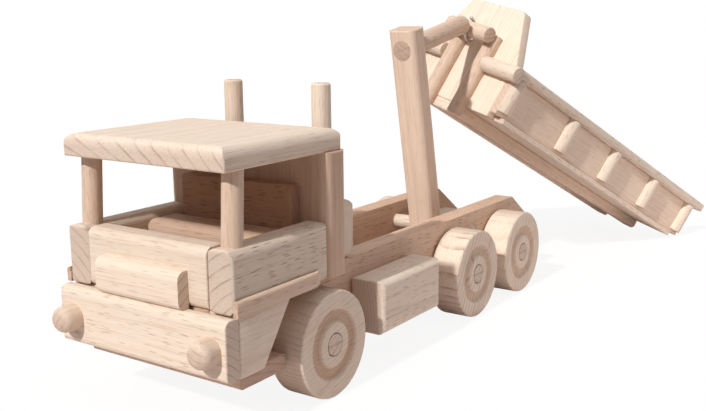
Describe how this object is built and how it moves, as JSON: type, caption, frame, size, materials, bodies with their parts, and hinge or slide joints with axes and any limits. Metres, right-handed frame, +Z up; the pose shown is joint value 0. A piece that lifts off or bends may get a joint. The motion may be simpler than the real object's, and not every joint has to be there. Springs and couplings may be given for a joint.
{
  "type": "toy hook-lift truck",
  "caption": "Unpainted beech toy truck with an open cab and a swinging lift arm; its hook carries a ribbed container tipped to the floor behind.",
  "frame": {"origin": "on the floor, under the middle of the whole toy's box, container included", "axes": "+X to the front of the truck, +Y to its left, +Z up"},
  "size_m": [0.6415, 0.1925, 0.2176],
  "materials": {
    "beech": "matt sanded, unfinished",
    "wire": "plain wire"
  },
  "bodies": {
    "truck": {"rail_left": "beech", "rail_right": "beech", "base_plate": "beech", "bumper": "beech", "lamps": "beech", "cheek_left": "beech", "cheek_right": "beech", "front_panel": "beech", "grille": "beech", "door_left": "beech", "door_right": "beech", "strip_left": "beech", "strip_right": "beech", "pillar_left": "beech", "pillar_right": "beech", "cab_back": "beech", "roof": "beech", "cab_floor": "beech", "seat": "beech", "seat_back": "beech", "stack_block": "beech", "stack_left": "beech", "stack_right": "beech", "box_left": "beech", "box_right": "beech", "arm_spacer": "beech", "pivot_pin": "beech"},
    "front_axle": {"front_axle": "beech", "front_wheel_left": "beech", "front_wheel_right": "beech", "front_wedges": "beech"},
    "middle_axle": {"middle_axle": "beech", "middle_wheel_left": "beech", "middle_wheel_right": "beech", "middle_wedges": "beech"},
    "rear_axle": {"rear_axle": "beech", "rear_wheel_left": "beech", "rear_wheel_right": "beech", "rear_wedges": "beech"},
    "arm": {"arm_post": "beech", "arm_dowel": "beech", "arm_wedge": "beech", "lift_hook": "wire"},
    "container": {"tray_floor": "beech", "tray_front": "beech", "tray_tail": "beech", "side_left": "beech", "side_right": "beech", "cap_left": "beech", "cap_right": "beech", "ribs_left": "beech", "ribs_right": "beech", "front_strip_left": "beech", "front_strip_right": "beech", "runner_left": "beech", "runner_right": "beech", "runner_cross": "beech", "lift_bar": "beech", "side_pegs": "beech"}
  },
  "joints": [
    {"name": "front_axle_spin", "type": "hinge", "parent": "truck", "child": "front_axle", "pos_m": [0.22539, -0.03071, 0.03], "axis": [0, 1, 0], "continuous": true},
    {"name": "middle_axle_spin", "type": "hinge", "parent": "truck", "child": "middle_axle", "pos_m": [0.05699, -0.03071, 0.03], "axis": [0, 1, 0], "continuous": true},
    {"name": "rear_axle_spin", "type": "hinge", "parent": "truck", "child": "rear_axle", "pos_m": [-0.01541, -0.03071, 0.03], "axis": [0, 1, 0], "continuous": true},
    {"name": "arm_swing", "type": "hinge", "parent": "truck", "child": "arm", "pos_m": [0.02339, -0.03071, 0.0515], "axis": [0, 1, 0], "range_deg": [0, 88.7]},
    {"name": "container_tilt", "type": "hinge", "parent": "arm", "child": "container", "pos_m": [-0.04301, -0.03071, 0.1938], "axis": [-0.0273, -0.9205, 0.3899], "range_deg": [0, 66.72]}
  ],
  "couplings": [
    {"joint": "container_tilt", "follows": "arm_swing", "ratio": 0.75214}
  ]
}
